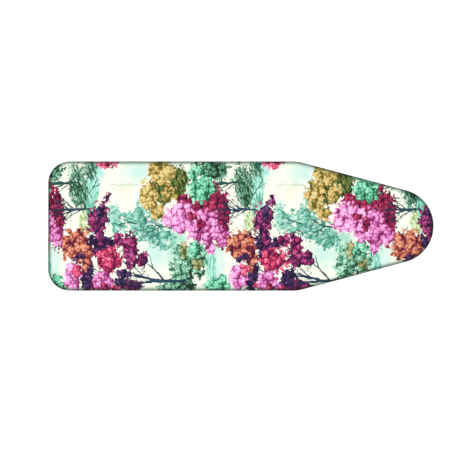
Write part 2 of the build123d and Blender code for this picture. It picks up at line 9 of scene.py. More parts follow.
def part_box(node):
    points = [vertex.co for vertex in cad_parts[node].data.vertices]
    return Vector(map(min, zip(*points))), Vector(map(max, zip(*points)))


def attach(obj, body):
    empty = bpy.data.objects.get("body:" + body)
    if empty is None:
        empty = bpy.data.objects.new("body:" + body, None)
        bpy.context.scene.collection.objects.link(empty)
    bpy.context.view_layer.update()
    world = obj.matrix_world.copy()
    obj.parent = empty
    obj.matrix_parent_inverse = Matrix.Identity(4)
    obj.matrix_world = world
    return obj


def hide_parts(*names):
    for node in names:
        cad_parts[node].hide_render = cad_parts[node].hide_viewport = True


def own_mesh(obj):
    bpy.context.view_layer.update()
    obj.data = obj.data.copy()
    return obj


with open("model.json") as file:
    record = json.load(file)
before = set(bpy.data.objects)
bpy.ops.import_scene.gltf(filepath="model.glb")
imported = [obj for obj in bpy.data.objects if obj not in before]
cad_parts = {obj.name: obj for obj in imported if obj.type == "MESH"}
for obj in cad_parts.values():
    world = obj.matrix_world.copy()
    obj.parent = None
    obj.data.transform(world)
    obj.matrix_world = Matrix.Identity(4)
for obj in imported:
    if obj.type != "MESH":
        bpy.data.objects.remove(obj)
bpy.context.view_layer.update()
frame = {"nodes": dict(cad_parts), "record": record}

# A folding ironing board with its legs open. Metres: +X to the nose, +Y to the left, +Z up.

MM = 0.001
COVER_LOW, COVER_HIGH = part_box("cover")
TOP = COVER_HIGH.z
HALF_LENGTH = (COVER_HIGH.x - COVER_LOW.x) / 2
HALF_WIDTH = (COVER_HIGH.y - COVER_LOW.y) / 2

# ---- node helper --------------------------------------------------------------------------


def linear(hex_colour):
    """A hexadecimal screen colour as the linear colour that shaders use."""
    channels = [int(hex_colour[i : i + 2], 16) / 255 for i in (0, 2, 4)]
    red, green, blue = (c / 12.92 if c <= 0.04045 else ((c + 0.055) / 1.055) ** 2.4 for c in channels)
    return red, green, blue, 1.0


def grey(level):
    return level, level, level, 1.0


class Graph:
    """Builds the node tree of one material around a Principled shader."""

    def __init__(self, name):
        self.material = bpy.data.materials.new(name)
        self.material.use_nodes = True
        self.tree = self.material.node_tree
        self.shader = self.tree.nodes["Principled BSDF"]
        self.place = self.add("TexCoord").outputs["Object"]

    def add(self, kind, **settings):
        node = self.tree.nodes.new("ShaderNode" + kind)
        for key, value in settings.items():
            setattr(node, key, value)
        return node

    def feed(self, socket, value):
        if isinstance(value, bpy.types.NodeSocket):
            self.tree.links.new(value, socket)
        else:
            socket.default_value = value

    def math(self, operation, *values):
        node = self.add("Math", operation=operation)
        for socket, value in zip(node.inputs, values):
            self.feed(socket, value)
        return node.outputs[0]

    def vector(self, operation, *values):
        node = self.add("VectorMath", operation=operation)
        for socket, value in zip(node.inputs, values):
            self.feed(socket, value)
        return node.outputs["Value" if operation in ("LENGTH", "DOT_PRODUCT", "DISTANCE") else "Vector"]

    def scaled(self, vector, factor):
        node = self.add("VectorMath", operation="SCALE")
        self.feed(node.inputs[0], vector)
        self.feed(node.inputs["Scale"], factor)
        return node.outputs["Vector"]

    def mix(self, factor, a, b, blend="MIX"):
        node = self.add("Mix", data_type="RGBA", blend_type=blend)
        self.feed(node.inputs[0], factor)
        self.feed(node.inputs[6], a)
        self.feed(node.inputs[7], b)
        return node.outputs[2]

    def ramp(self, factor, stops):
        node = self.add("ValToRGB")
        ramp = node.color_ramp
        while len(ramp.elements) < len(stops):
            ramp.elements.new(0.5)
        for element, (position, colour) in zip(ramp.elements, stops):
            element.position = position
            element.color = colour
        self.feed(node.inputs[0], factor)
        return node.outputs[0]

    def spread(self, value, low, high, to_low=0.0, to_high=1.0, smooth=False):
        kind = "SMOOTHSTEP" if smooth else "LINEAR"
        node = self.add("MapRange", interpolation_type=kind)
        for socket, number in zip(node.inputs, (value, low, high, to_low, to_high)):
            self.feed(socket, number)
        return node.outputs[0]

    def limited(self, value, low=0.0, high=1.0):
        return self.math("MINIMUM", self.math("MAXIMUM", value, low), high)

    def factor(self, value, low, high, top=1.0):
        """A mix factor that rises from 0 at low to 1 at high and stops at top: Mix clamps it at 0.

        A long chain of Map Range or clamped Math nodes runs the renderer out of stack.
        """
        slope = 1.0 / (high - low)
        factor = self.math("MULTIPLY_ADD", value, slope, -low * slope)
        return self.math("MINIMUM", factor, top)

    def noise(self, vector, scale, detail=2.0, roughness=0.5, colour=False):
        node = self.add("TexNoise")
        self.feed(node.inputs["Vector"], vector)
        node.inputs["Scale"].default_value = scale
        node.inputs["Detail"].default_value = detail
        node.inputs["Roughness"].default_value = roughness
        return node.outputs[1 if colour else 0]

    def mapping(self, vector, turn=0.0, size=(1, 1, 1)):
        """Local coordinates of a box of the given size, turned about Z."""
        node = self.add("Mapping", vector_type="TEXTURE")
        self.feed(node.inputs["Vector"], vector)
        node.inputs["Rotation"].default_value = (0, 0, turn)
        node.inputs["Scale"].default_value = size
        return node.outputs[0]

    def bump(self, height, distance, strength):
        node = self.add("Bump")
        node.inputs["Strength"].default_value = strength
        node.inputs["Distance"].default_value = distance
        self.feed(node.inputs["Height"], height)
        return node.outputs[0]

    def finish(self, colour, roughness, normal=None, **fixed):
        self.feed(self.shader.inputs["Base Color"], colour)
        self.feed(self.shader.inputs["Roughness"], roughness)
        if normal is not None:
            self.feed(self.shader.inputs["Normal"], normal)
        for key, value in fixed.items():
            self.shader.inputs[key.replace("_", " ")].default_value = value
        return self.material


# ---- printed cotton -----------------------------------------------------------------------

# The print is a generic wood of leafy crowns, seen on its side: crowns point to -X. Places are
# in millimetres on the board, and the whole print repeats along X.
REPEAT = 515.6
FOLD = 204.0        # from the middle line to where the cloth turns over a side

CREAM = "F7FBE9"    # bare cloth
BRUSHED = "DDF8EF"  # brush marks on it
WOBBLE = 10         # of everything printed, in millimetres

# Each palette runs from the gaps between leaves to the lightest leaf
PALETTES = {
    "pine": ("1E4A38", "4C8368", "86B89A", "D2EEDA"),
    "river": ("2F7464", "6CBFA4", "96D9C2", "CBFAE8"),
    "lime": ("8FB070", "C2DA9A", "E0F0C0", "F2FADC"),
    "teal": ("46907E", "72BDA6", "92CFBB", "C0EADC"),
    "mint": ("1F5A42", "58B28C", "82D8B0", "B2FAD6"),
    "shade": ("12301F", "2E6246", "5A9878", "9CD2B4"),
    "sage": ("245238", "64A888", "98D0B2", "C8F4DE"),
    "moss": ("4A5A30", "86905A", "B0AC78", "CFC898"),
    "olive": ("1C2A08", "3E5216", "6C7C3C", "A0AC6C"),
    "ochre": ("5C5A1C", "B3954A", "D9BC72", "F0DA9C"),
    "rust": ("541030", "A04440", "D0785A", "F2AE8A"),
    "plum": ("260A38", "5A124E", "92305E", "C45A92"),
    "magenta": ("260430", "64104A", "981F60", "CE5C92"),
    "crimson": ("38062C", "7A103C", "A81E4C", "CE5074"),
    "rose": ("5E0E40", "B82C56", "E65076", "FA8EB0"),
    "pink": ("8A2A66", "D46CB0", "F29AD8", "FFCBF2"),
    "orchid": ("86245C", "CE66AC", "F096D6", "FFC8EE"),
    "indigo": ("10082A", "24103C", "3C1C52", "74487E"),
}

# Soft washes on the bare cloth: (x, y, half length, half width, colour)
WASHES = [
    (-446, 170, 26, 44, "A2E4DA"),
    (-320, 168, 60, 42, "CDEFE6"),
    (-262, -86, 54, 58, "CDF0E6"),
    (-240, -34, 34, 40, "9EDDC6"),
    (-84, -120, 40, 96, "A6DED4"),
    (-464, 10, 36, 44, "9FDCCB"),
    (-584, -110, 18, 60, "DFF5EC"),
    (-300, 92, 40, 26, "DDF7F2"),
    (-392, 60, 22, 30, "E6F8EE"),
    (-360, 104, 30, 26, "F3FBDF"),
    (-212, -60, 22, 90, "B4E6D2"),
    (-192, -40, 34, 28, "A8E0CC"),
]

# Back to front: palette, leaf layer, how broken the outline is, how thin the leaves are spread,
# and ellipses (x, y, half length, half width, turn in degrees)
CROWNS = [
    ("lime", "needle", 1.6, 0.7, [(-486, 14, 20, 38, 0)]),
    ("river", "streak", 0.7, 0.0, [(-464, 112, 22, 98, -3), (-448, 24, 20, 44, 14)]),
    ("river", "streak", 0.8, 0.0, [(-96, -110, 16, 60, 8)]),
    ("mint", "small", 1.4, 0.4, [(-72, -184, 44, 24, 0), (-60, -166, 16, 18, 0)]),
    ("pine", "needle", 1.7, 0.5, [
        (-584, 164, 26, 28, 0), (-508, 124, 30, 74, 8), (-470, 176, 22, 30, 0),
    ]),
    ("shade", "needle", 1.6, 0.7, [(-500, 100, 12, 40, 10), (-590, 176, 14, 18, 0)]),
    ("teal", "small", 1.7, 0.83, [
        (-312, 6, 66, 50, 0), (-250, -38, 46, 34, -20), (-392, 22, 26, 46, 12), (-306, 60, 24, 30, 0),
    ]),
    ("teal", "small", 1.4, 0.5, [(-386, 34, 16, 24, 0), (-318, 24, 30, 34, 0), (-290, -26, 30, 26, 0)]),
    ("sage", "small", 1.2, 0.6, [
        (-186, -126, 34, 78, 0), (-140, -100, 34, 56, 0), (-206, -192, 66, 18, 0),
    ]),
    ("shade", "small", 1.7, 0.9, [
        (-168, -150, 22, 44, 0), (-128, -128, 14, 40, 0), (-190, -186, 60, 14, 0),
    ]),
    ("moss", "small", 1.3, 0.5, [(-176, -74, 13, 26, 0), (-134, -118, 15, 20, 0)]),
    ("mint", "round", 1.0, 0.3, [(-146, -72, 20, 26, 0)]),
    ("olive", "needle", 0.8, 0.0, [(-200, 136, 40, 52, 0), (-250, 110, 30, 46, 0)]),
    ("crimson", "small", 0.9, 0.0, [
        (-120, 64, 88, 40, 0), (-60, 24, 28, 92, 0), (-178, 80, 26, 22, 0), (-84, 110, 20, 28, 0),
    ]),
    ("ochre", "round", 1.0, 0.55, [
        (-248, 170, 42, 44, 0), (-286, 98, 30, 48, 0), (-262, 46, 22, 34, 40), (-222, 98, 24, 26, 0),
    ]),
    ("shade", "small", 1.0, 0.3, [(-96, 176, 60, 30, 0)]),
    ("mint", "round", 1.1, 0.5, [(-124, 116, 44, 44, 0), (-146, 164, 22, 20, 0)]),
    ("orchid", "round", 1.0, 0.45, [
        (-184, 24, 52, 48, 0), (-118, 0, 56, 54, 0), (-56, -34, 28, 30, 0), (-96, -66, 14, 22, 0),
    ]),
    ("crimson", "small", 1.0, 0.3, [(-150, 30, 22, 11, -20), (-126, 4, 13, 19, 0)]),
    ("plum", "small", 1.5, 0.5, [
        (-444, 24, 32, 54, -16), (-418, 84, 9, 26, -28), (-438, -62, 26, 62, 8),
    ]),
    ("indigo", "small", 1.3, 0.6, [
        (-438, 42, 14, 26, 0), (-408, -58, 19, 22, 0), (-452, -80, 9, 30, 0), (-480, -168, 22, 40, 0),
        (-474, -132, 16, 22, 0),
    ]),
    ("rust", "round", 1.1, 0.6, [(-512, -62, 52, 52, 0), (-480, -100, 18, 44, -14)]),
    ("indigo", "small", 1.3, 0.72, [(-510, -100, 26, 9, 24), (-462, -44, 12, 20, 0)]),
    ("magenta", "small", 1.4, 0.4, [
        (-344, -76, 26, 58, 0), (-380, -44, 20, 22, 0), (-308, -102, 22, 26, 0),
        (-350, -186, 48, 22, 0),
    ]),
    ("plum", "small", 1.4, 0.7, [(-344, -106, 20, 28, 0), (-338, -186, 40, 16, 0)]),
    ("indigo", "small", 1.3, 0.6, [(-366, -150, 26, 16, -10), (-378, -178, 20, 20, 0)]),
    ("rose", "round", 0.9, 0.2, [
        (-412, -108, 44, 42, 0), (-414, 200, 34, 24, 0), (-456, -182, 18, 26, 0),
        (-394, -196, 18, 14, 0),
    ]),
    ("pink", "round", 0.9, 0.3, [(-524, -158, 28, 50, 0), (-428, -172, 34, 34, 0)]),
    ("rose", "small", 1.0, 0.3, [(-508, -138, 16, 20, 0), (-424, -192, 14, 14, 0)]),
]

# Trunks and boughs by tree: (x, y) at the root and at the tip, and the half widths there
BOUGHS = {
    "crimson": [
        ((-472, 53), (-536, 50), 2.6, 4.4),
        ((-520, 54), (-556, 84), 2.0, 0.8),
        ((-556, 66), (-586, 92), 1.3, 0.6),
        ((-536, 42), (-562, 8), 1.6, 0.7),
        ((-530, 52), (-596, 46), 2.4, 1.2),
        ((-528, 50), (-572, 72), 2.4, 1.0),
        ((-518, 50), (-566, 34), 2.6, 1.0),
        ((-534, 50), (-590, 54), 2.2, 0.9),
        ((-500, 50), (-548, 20), 1.8, 0.7),
    ],
    "pine": [
        ((-512, 136), (-600, 131), 2.4, 5.6),
        ((-556, 128), (-594, 112), 2.0, 1.0),
        ((-540, 128), (-574, 104), 1.5, 0.7),
        ((-530, 138), (-504, 172), 2.2, 0.9),
        ((-524, 130), (-508, 84), 2.0, 0.8),
    ],
    "river": [
        ((-466, 196), (-448, 142), 1.8, 1.2),
        ((-448, 142), (-482, 88), 1.4, 1.2),
        ((-482, 88), (-490, 40), 1.3, 0.7),
        ((-462, 120), (-438, 132), 0.9, 0.5),
        ((-470, 104), (-456, 66), 0.9, 0.5),
    ],
    "teal": [
        ((-216, -8), (-262, 2), 3.0, 1.5),
        ((-256, 0), (-300, 20), 1.6, 0.8),
        ((-250, 0), (-300, -28), 1.6, 0.7),
        ((-328, 6), (-386, 28), 1.8, 0.7),
        ((-346, 12), (-386, 4), 1.2, 0.6),
    ],
    "distant": [
        ((-322, 128), (-412, 129), 1.2, 0.4),
        ((-346, 128), (-374, 146), 0.6, 0.3),
        ((-352, 128), (-382, 110), 0.6, 0.3),
        ((-366, 128), (-392, 142), 0.5, 0.3),
        ((-370, 128), (-398, 116), 0.5, 0.3),
        ((-338, 128), (-360, 112), 0.5, 0.3),
        ((-334, 128), (-352, 140), 0.5, 0.3),
        ((-384, 129), (-404, 136), 0.4, 0.3),
        ((-386, 129), (-408, 123), 0.4, 0.3),
    ],
    "roots": [
        ((-410, -150), (-476, -132), 1.6, 0.8),
        ((-470, -140), (-504, -170), 1.4, 0.6),
        ((-452, -138), (-496, -108), 1.3, 0.6),
        ((-466, -168), (-500, -196), 1.5, 0.7),
        ((-484, -150), (-500, -122), 1.4, 0.6),
    ],
    "navy": [
        ((-172, -172), (-272, -170), 2.6, 5.6),
        ((-204, -172), (-270, -170), 5.2, 5.2),
        ((-190, -174), (-150, -188), 2.2, 0.7),
        ((-186, -170), (-152, -160), 1.8, 0.7),
        ((-262, -170), (-344, -148), 4.4, 1.6),
        ((-266, -171), (-356, -182), 3.8, 1.4),
        ((-238, -170), (-276, -128), 3.2, 1.6),
        ((-274, -130), (-322, -98), 1.9, 0.9),
        ((-274, -130), (-284, -92), 1.5, 0.8),
        ((-304, -158), (-338, -122), 1.8, 0.8),
        ((-290, -164), (-360, -152), 2.6, 1.0),
        ((-318, -158), (-372, -136), 1.6, 0.7),
        ((-324, -176), (-382, -170), 2.2, 0.9),
        ((-238, -172), (-210, -160), 2.4, 1.2),
        ((-296, -112), (-312, -84), 1.1, 0.6),
    ],
}

# Where a tree's fine twigs show, as ellipses like those above
TWIGS = {
    "crimson": [(-556, 46, 38, 40, 0)],
    "teal": [(-282, -4, 34, 32, 0)],
    "roots": [(-500, -140, 16, 60, 0), (-468, -164, 18, 44, 0)],
    "navy": [(-334, -154, 46, 32, 0)],
}

# Each tree is painted over the first crown of a palette, and the navy one over them all
TREE_OVER = {"pine": "pine", "shade": "river", "moss": "teal", "crimson": "crimson", "magenta": "roots"}
INKS = {
    "distant": "9DB79A",
    "pine": "1C4636",
    "river": "2C6E62",
    "teal": "1C4048",
    "crimson": "142B45",
    "roots": "1E1838",
    "navy": "142B45",
}
BARK_LIGHT = "3F7684"  # down the middle of a wide bough
BARK_ROUGH = 1.2       # how far a bough's edges wander, in millimetres

LIGHT_SIDE = (-0.86, 0.5, 0.0)  # crowns are lit from their tips
FAR = 1e4                       # past the edge of the cloth

# A leaf cell, in cell sizes from its middle: it is LEAF_LIFT lighter as far as GAP_START, and
# then darkens over GAP_WIDTH
LEAF_LIFT = 0.08
GAP_START = 0.3
GAP_WIDTH = 0.36
LEAF_SHARE = 0.65               # how much of a leaf's place is its own, and not its cluster's

# A crown, in radii of its ellipses
CROWN_EDGE = 1.12
LEAF_SPREAD = 0.3               # how far single leaves stand in from the edge
ROUNDING = 0.12                 # of the joints between ellipses
CROWN_SLOPE = 0.0015            # how much lighter it gets in a millimetre towards the light
CROWN_TONE = 0.72
PATCH_TONE = 0.7
TONES = (0.3, 0.54, 0.76, 1.0)  # where the four colours of a palette lie


def wrapped(graph, vector, middle):
    """The print's coordinates repeated along X about a middle, so that one crown repeats."""
    half = REPEAT / 2
    return graph.vector("WRAP", vector, (middle + half, FAR, 1.0), (middle - half, -FAR, -1.0))


def cells(graph, place, size, lit, gap, varied):
    """Leaf cells of one size: their seeds, a number for each, and a shade with dark gaps."""
    node = graph.add("TexVoronoi", voronoi_dimensions="2D", feature="F1")
    graph.feed(node.inputs["Vector"], place)
    node.inputs["Scale"].default_value = 1.0 / size
    node.inputs["Randomness"].default_value = 0.95
    seed = node.outputs["Position"]
    offset = graph.vector("SUBTRACT", place, seed)
    sun = graph.vector("DOT_PRODUCT", offset, tuple(c * lit / size for c in LIGHT_SIDE))
    slope = (LEAF_LIFT + gap) / GAP_WIDTH
    hollow = graph.math("MULTIPLY_ADD", node.outputs["Distance"], -slope, LEAF_LIFT + GAP_START * slope)
    shade = graph.math("ADD", sun, graph.limited(hollow, -gap, LEAF_LIFT))
    tone = graph.add("SeparateColor")
    graph.feed(tone.inputs[0], node.outputs["Color"])
    shade = graph.math("MULTIPLY_ADD", tone.outputs[0], varied, shade)
    return seed, tone.outputs[1], shade


def leaf_layer(graph, place, cluster, leaf, stretch=(1, 1, 1), turn=0.0):
    """Leaves in clusters: the place each leaf belongs to, a number for it, and its shade."""
    flat = graph.mapping(place, turn=turn, size=stretch)
    cluster_seed, _, cluster_shade = cells(graph, flat, cluster, lit=0.42, gap=0.26, varied=0.18)
    leaf_seed, chance, leaf_shade = cells(graph, flat, leaf, lit=0.17, gap=0.3, varied=0.18)
    shared = 1 - LEAF_SHARE
    own_place = graph.scaled(leaf_seed, LEAF_SHARE)
    seed = graph.vector("MULTIPLY_ADD", cluster_seed, (shared, shared, 0), own_place)
    shade = graph.math("SUBTRACT", graph.math("ADD", cluster_shade, leaf_shade), 0.2)
    if stretch != (1, 1, 1) or turn:
        back = graph.add("Mapping", vector_type="POINT")
        graph.feed(back.inputs["Vector"], seed)
        back.inputs["Rotation"].default_value = (0, 0, turn)
        back.inputs["Scale"].default_value = stretch
        seed = back.outputs[0]
    return seed, chance, shade


def streak_layer(graph, place):
    """Brushed water: long streaks across the board."""
    brushed = graph.noise(graph.mapping(place, turn=math.radians(-6), size=(5, 34, 1)), 1.0, 4.0, 0.65)
    return place, brushed, graph.math("MULTIPLY_ADD", brushed, 2.2, -1.1)


def ellipse_distance(graph, flat, ellipses):
    """Distance in radii from the nearest of some ellipses, with their joints rounded."""
    nearest = None
    for x, y, long, wide, turn in ellipses:
        offset = graph.vector("SUBTRACT", flat, (x, y, 0))
        if turn:
            c, s = math.cos(math.radians(turn)), math.sin(math.radians(turn))
            local = graph.add("CombineXYZ")
            graph.feed(local.inputs[0], graph.vector("DOT_PRODUCT", offset, (c / long, s / long, 0)))
            graph.feed(local.inputs[1], graph.vector("DOT_PRODUCT", offset, (-s / wide, c / wide, 0)))
            away = graph.vector("LENGTH", local.outputs[0])
        else:
            away = graph.vector("LENGTH", graph.vector("MULTIPLY", offset, (1 / long, 1 / wide, 0)))
        nearest = away if nearest is None else graph.math("SMOOTH_MIN", nearest, away, ROUNDING)
    return nearest


def paint_crown(graph, under, layer, ragged, patches, palette, broken, thin, ellipses):
    """One kind of crown painted over what lies under it, whole leaves at a time."""
    seed, chance, shade = layer
    middle = sum(e[0] for e in ellipses) / len(ellipses)
    height = sum(e[1] for e in ellipses) / len(ellipses)
    flat = wrapped(graph, seed, middle)
    nearest = ellipse_distance(graph, flat, ellipses)
    if thin:
        nearest = graph.math("MAXIMUM", nearest, thin)
    edge = graph.math("MULTIPLY_ADD", ragged, broken, nearest)
    edge = graph.math("MULTIPLY_ADD", chance, LEAF_SPREAD, edge)
    inside = graph.math("LESS_THAN", edge, CROWN_EDGE + broken / 2)
    slope = tuple(c * CROWN_SLOPE for c in LIGHT_SIDE)
    base = CROWN_TONE - slope[0] * middle - slope[1] * height
    lit = graph.math("ADD", graph.vector("DOT_PRODUCT", flat, slope), base)
    tone = graph.math("ADD", shade, graph.math("MULTIPLY_ADD", patches, PATCH_TONE, lit))
    colours = [linear(colour) for colour in PALETTES[palette]]
    return graph.mix(inside, under, graph.ramp(tone, list(zip(TONES, colours))))


def paint_boughs(graph, under, place, ragged, tree, strength=1.0):
    """A tree's trunk and boughs: tapering strokes between two points."""
    boughs = BOUGHS[tree]
    middle = sum((b[0][0] + b[1][0]) / 2 for b in boughs) / len(boughs)
    flat = wrapped(graph, place, middle)
    nearest = None
    for root, tip, wide, fine in boughs:
        run = Vector((tip[0] - root[0], tip[1] - root[1], 0))
        offset = graph.vector("SUBTRACT", flat, (root[0], root[1], 0))
        along = graph.limited(graph.vector("DOT_PRODUCT", offset, tuple(run / run.length_squared)))
        gap = graph.vector("DISTANCE", offset, graph.scaled(tuple(run), along))
        width = graph.math("MULTIPLY_ADD", along, wide - fine, gap)
        stroke = graph.math("SUBTRACT", width, wide)
        nearest = stroke if nearest is None else graph.math("MINIMUM", nearest, stroke)
    nearest = graph.math("MULTIPLY_ADD", ragged, 2 * BARK_ROUGH, nearest)
    nearest = graph.math("SUBTRACT", nearest, BARK_ROUGH)
    # nearest is now the distance out from a bough's edge, in millimetres
    bark = graph.mix(graph.factor(nearest, -1.6, -6.0, 0.3), linear(INKS[tree]), linear(BARK_LIGHT))
    return graph.mix(graph.factor(nearest, 0.5, -0.3, strength), under, bark)


def paint_twigs(graph, under, web, ragged, place, ellipse, colour):
    """A web of fine twigs inside an ellipse."""
    flat = wrapped(graph, place, ellipse[0])
    edge = graph.math("MULTIPLY_ADD", ragged, 1.0, ellipse_distance(graph, flat, [ellipse]))
    near = graph.math("LESS_THAN", edge, 1.5)
    return graph.mix(graph.math("MULTIPLY", near, web), under, colour)


def paint_tree(graph, under, web, ragged, place, tree):
    """A bare tree: its fine twigs, and its trunk and boughs over them."""
    for ellipse in TWIGS.get(tree, ()):
        under = paint_twigs(graph, under, web, ragged, place, ellipse, linear(INKS[tree]))
    return paint_boughs(graph, under, place, ragged, tree)


def print_colour(graph):
    """The printed picture, as a colour over the cloth."""
    flat = graph.scaled(graph.place, 1 / MM)
    flat = graph.vector("MULTIPLY", flat, (1, 1, 0))
    # The picture is as wide as the board, and is mirrored where the cloth turns over the sides
    for fold, keep in ((FOLD, "MINIMUM"), (-FOLD, "MAXIMUM")):
        mirrored = graph.vector("MULTIPLY_ADD", flat, (1, -1, 1), (0, 2 * fold, 0))
        flat = graph.vector(keep, flat, mirrored)
    # A hand-drawn wobble, then the noise of ragged outlines and of lighter and darker patches
    wander = graph.vector("SUBTRACT", graph.noise(flat, 0.07, 2.0, colour=True), (0.5, 0.5, 0.5))
    flat = graph.vector("MULTIPLY_ADD", wander, (WOBBLE, WOBBLE, 0), flat)
    ragged = graph.noise(flat, 0.05, 4.0, 0.65)
    patches = graph.math("SUBTRACT", graph.noise(flat, 0.028, 2.0), 0.5)

    brushed = graph.noise(graph.mapping(flat, size=(7, 46, 1)), 1.0, 3.0, 0.6)
    sky = graph.mix(graph.factor(brushed, 0.52, 0.92), linear(CREAM), linear(BRUSHED))
    for x, y, long, wide, shade in WASHES:
        away = ellipse_distance(graph, wrapped(graph, flat, x), [(x, y, long, wide, 0)])
        edge = graph.math("MULTIPLY_ADD", ragged, 1.4, graph.math("MULTIPLY_ADD", brushed, 0.8, away))
        sky = graph.mix(graph.factor(edge, 2.15, 1.3, 0.95), sky, linear(shade))

    layers = {
        "streak": streak_layer(graph, flat),
        "needle": leaf_layer(graph, flat, 13.0, 4.6, (0.5, 1.9, 1), math.radians(24)),
        "small": leaf_layer(graph, flat, 17.0, 6.2),
        "round": leaf_layer(graph, flat, 24.0, 9.0),
    }
    # The web of twigs is the edges of long cells
    lines = graph.add("TexVoronoi", voronoi_dimensions="2D", feature="DISTANCE_TO_EDGE")
    graph.feed(lines.inputs["Vector"], graph.mapping(flat, size=(26, 11, 1)))
    lines.inputs["Scale"].default_value = 1.0
    web = graph.limited(graph.factor(lines.outputs["Distance"], 0.06, 0.025))
    colour = paint_boughs(graph, sky, flat, ragged, "distant", strength=0.7)
    waiting = dict(TREE_OVER)
    for palette, layer, *crown in CROWNS:
        colour = paint_crown(graph, colour, layers[layer], ragged, patches, palette, *crown)
        if palette in waiting:
            colour = paint_tree(graph, colour, web, ragged, flat, waiting.pop(palette))
    return paint_tree(graph, colour, web, ragged, flat, "navy")


# Painted shade where the cloth rolls over the edge, darkest where it has turned partway over, by how
# far a
# face looks up: from a face that looks sideways or down (0) to one that looks up (1)
ROLLED_EDGE_SHADE = [
    (0.0, linear("CED4D2")),
    (0.35, linear("8F9C97")),
    (0.65, linear("6F7E79")),
    (0.9, linear("98A8A2")),
    (0.975, linear("CDD8D3")),
    (0.998, grey(1.0)),
]
THREADS = 420.0     # wave scale of the weave, for metres


def cotton_print():
    graph = Graph("cotton_print")
    graph.place = graph.add("Attribute", attribute_name="cloth").outputs["Vector"]
    colour = print_colour(graph)
    warp = graph.add("TexWave", wave_type="BANDS", bands_direction="X")
    weft = graph.add("TexWave", wave_type="BANDS", bands_direction="Y")
    for wave in (warp, weft):
        graph.feed(wave.inputs["Vector"], graph.place)
        wave.inputs["Scale"].default_value = THREADS
        wave.inputs["Distortion"].default_value = 0.6
    weave = graph.math("MAXIMUM", warp.outputs["Fac"], weft.outputs["Fac"])
    slub = graph.noise(graph.place, 900.0, 2.0)
    height = graph.math("MULTIPLY_ADD", slub, 0.5, weave)
    threads = graph.ramp(weave, [(0.0, grey(0.55)), (1.0, grey(1.0))])
    shaded = graph.mix(0.1, colour, threads, "MULTIPLY")
    # Painted shade on the rolled edge, by the way the cloth faces
    turned = graph.add("SeparateXYZ")
    graph.feed(turned.inputs[0], graph.add("NewGeometry").outputs["Normal"])
    shaded = graph.mix(1.0, shaded, graph.ramp(turned.outputs[2], ROLLED_EDGE_SHADE), "MULTIPLY")
    roughness = graph.spread(slub, 0.2, 0.8, 0.78, 0.92)
    normal = graph.bump(height, 0.00012, 0.35)
    return graph.finish(shaded, roughness, normal, Specular_IOR_Level=0.25, Sheen_Weight=0.08)


# ---- other materials ----------------------------------------------------------------------


def powder_coat():
    graph = Graph("powder_coat")
    peel = graph.noise(graph.place, 900.0, 3.0, 0.6)
    cloud = graph.noise(graph.place, 9.0, 4.0, 0.6)
    colour = graph.ramp(cloud, [(0.3, linear("D3D6D8")), (0.7, linear("DFE1E2"))])
    roughness = graph.spread(cloud, 0.3, 0.7, 0.34, 0.46)
    return graph.finish(colour, roughness, graph.bump(peel, 0.00004, 0.25), Specular_IOR_Level=0.5)


def zinc_plate():
    graph = Graph("zinc_plate")
    brushed = graph.noise(graph.mapping(graph.place, size=(1, 0.05, 1)), 260.0, 3.0, 0.6)
    spangle = graph.noise(graph.place, 60.0, 2.0)
    colour = graph.ramp(spangle, [(0.3, linear("A9ADB2")), (0.7, linear("C9CCCF"))])
    roughness = graph.spread(brushed, 0.3, 0.7, 0.22, 0.42)
    return graph.finish(colour, roughness, graph.bump(brushed, 0.00005, 0.3), Metallic=1.0)


def moulded(name, dark, light, rough_low, rough_high, grain=1500.0, **fixed):
    graph = Graph(name)
    pits = graph.noise(graph.place, grain, 3.0, 0.6)
    cloud = graph.noise(graph.place, 35.0, 3.0)
    colour = graph.ramp(cloud, [(0.3, linear(dark)), (0.7, linear(light))])
    roughness = graph.spread(pits, 0.3, 0.7, rough_low, rough_high)
    return graph.finish(colour, roughness, graph.bump(pits, 0.0001, 0.35), **fixed)


def fibre(name, dark, light, scale, depth):
    """Felt, foam, elastic or thread, by the scale of its fibres."""
    graph = Graph(name)
    strands = graph.noise(graph.place, scale, 5.0, 0.7)
    cloud = graph.noise(graph.place, scale / 20, 3.0)
    tone = graph.math("MULTIPLY_ADD", cloud, 0.5, graph.math("MULTIPLY", strands, 0.5))
    colour = graph.ramp(tone, [(0.35, linear(dark)), (0.65, linear(light))])
    return graph.finish(colour, 0.95, graph.bump(strands, depth, 0.8), Specular_IOR_Level=0.15)


MATERIALS = {
    "cover": cotton_print(),
    "elastic": fibre("woven_elastic", "CFCFCB", "F0F0EC", 1800.0, 0.0003),
    "foam": fibre("open_foam", "C9C3B0", "E6E1D2", 900.0, 0.0005),
    "felt": fibre("needled_felt", "8F918F", "C4C5C2", 700.0, 0.0008),
    "painted_steel": powder_coat(),
    "zinc_steel": zinc_plate(),
    "white_nylon": moulded("white_nylon", "DADAD4", "ECECE8", 0.38, 0.55, Subsurface_Weight=0.1),
    "black_plastic": moulded("black_plastic", "121213", "1D1D1F", 0.42, 0.6),
    "rubber": moulded("moulded_rubber", "1B1B1D", "28282A", 0.62, 0.82, 900.0),
}


def dress(piece, slot):
    """Give a piece one of the materials, by the record's slot."""
    piece.data.materials.clear()
    piece.data.materials.append(MATERIALS[slot])


SLOT_OF = {s["node"]: s["material_slot"] for s in frame["record"]["subparts"]}
for node_name, node_object in frame["nodes"].items():
    dress(node_object, SLOT_OF[node_name])

# ---- board outline ------------------------------------------------------------------------

TAIL_CORNER = 68.5 * MM
SHOULDER_X = 178.5 * MM
SHOULDER_RADIUS = 130.0 * MM
TAPER = math.radians(15.0)
NOSE_RADIUS = 116.5 * MM
NOSE_X = HALF_LENGTH - NOSE_RADIUS


